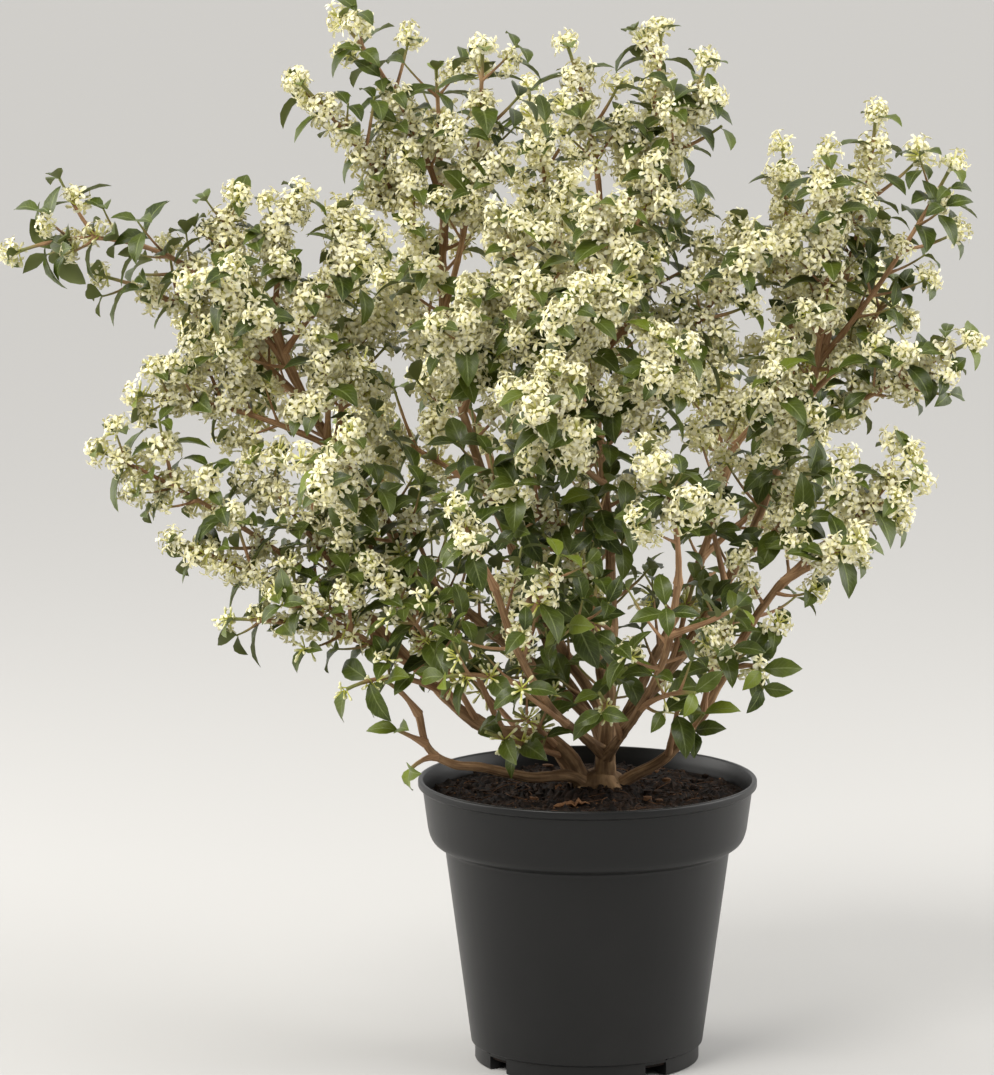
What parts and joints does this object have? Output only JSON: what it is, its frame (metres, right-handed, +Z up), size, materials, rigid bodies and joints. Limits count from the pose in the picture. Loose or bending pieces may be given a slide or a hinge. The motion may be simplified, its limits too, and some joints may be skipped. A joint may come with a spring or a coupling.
{
  "type": "potted burkwood osmanthus",
  "caption": "Evergreen flowering shrub with a woody frame, small arched leathery leaves and dense cream flower heads, standing in a tapered plastic nursery pot of soil.",
  "frame": {"origin": "centre of the pot's underside, on the surface it stands on", "axes": "+Z up; the shrub is seen from -Y, with its longest bough reaching towards -X"},
  "size_m": [0.6365, 0.3814, 0.69],
  "materials": {
    "pot": "moulded dark grey plastic with a soft sheen",
    "soil": "dark fibrous peat",
    "bark": "tan to reddish brown bark",
    "foliage": "glossy leathery leaf, dark green above and paler below",
    "petal": "soft creamy white petal"
  },
  "bodies": {
    "root": {"pot": "pot", "soil": "soil", "woody_frame": "bark", "branch_left_reach": "foliage", "branch_left_second": "foliage", "branch_left_crest": "foliage", "branch_left_mass": "foliage", "branch_left_shoulder": "foliage", "branch_left_middle": "foliage", "branch_left_low_reach": "foliage", "branch_left_bottom": "foliage", "branch_left_skirt": "foliage", "branch_left_inner": "foliage", "branch_left_rear": "foliage", "branch_low_left": "foliage", "branch_top_first": "foliage", "branch_top_second": "foliage", "branch_top_third": "foliage", "branch_top_fourth": "foliage", "branch_top_fifth": "foliage", "branch_top_sixth": "foliage", "branch_top_seventh": "foliage", "branch_top_front": "foliage", "branch_top_rear": "foliage", "branch_right_tuft": "foliage", "branch_right_fan": "foliage", "branch_right_upright": "foliage", "branch_right_top_first": "foliage", "branch_right_top_second": "foliage", "branch_right_top_third": "foliage", "branch_right_reach": "foliage", "branch_right_side_tuft": "foliage", "branch_right_low_reach": "foliage", "branch_right_low_front": "foliage", "branch_right_bottom": "foliage", "branch_right_middle": "foliage", "branch_right_rear": "foliage", "branch_right_back": "foliage", "branch_front_first": "foliage", "branch_front_second": "foliage", "branch_front_third": "foliage", "branch_front_fourth": "foliage", "branch_front_fifth": "foliage", "branch_front_sixth": "foliage", "branch_front_seventh": "foliage", "branch_front_eighth": "foliage", "branch_low_centre": "foliage", "branch_low_front": "foliage", "branch_low_inner": "foliage", "branch_low_right": "foliage", "branch_low_right_front": "foliage", "branch_low_rear_left": "foliage", "branch_low_rear_right": "foliage", "branch_low_back": "foliage", "branch_middle_right": "foliage", "branch_back_first": "foliage", "branch_back_second": "foliage", "branch_back_third": "foliage", "branch_back_fourth": "foliage", "branch_back_fifth": "foliage"}
  },
  "joints": []
}
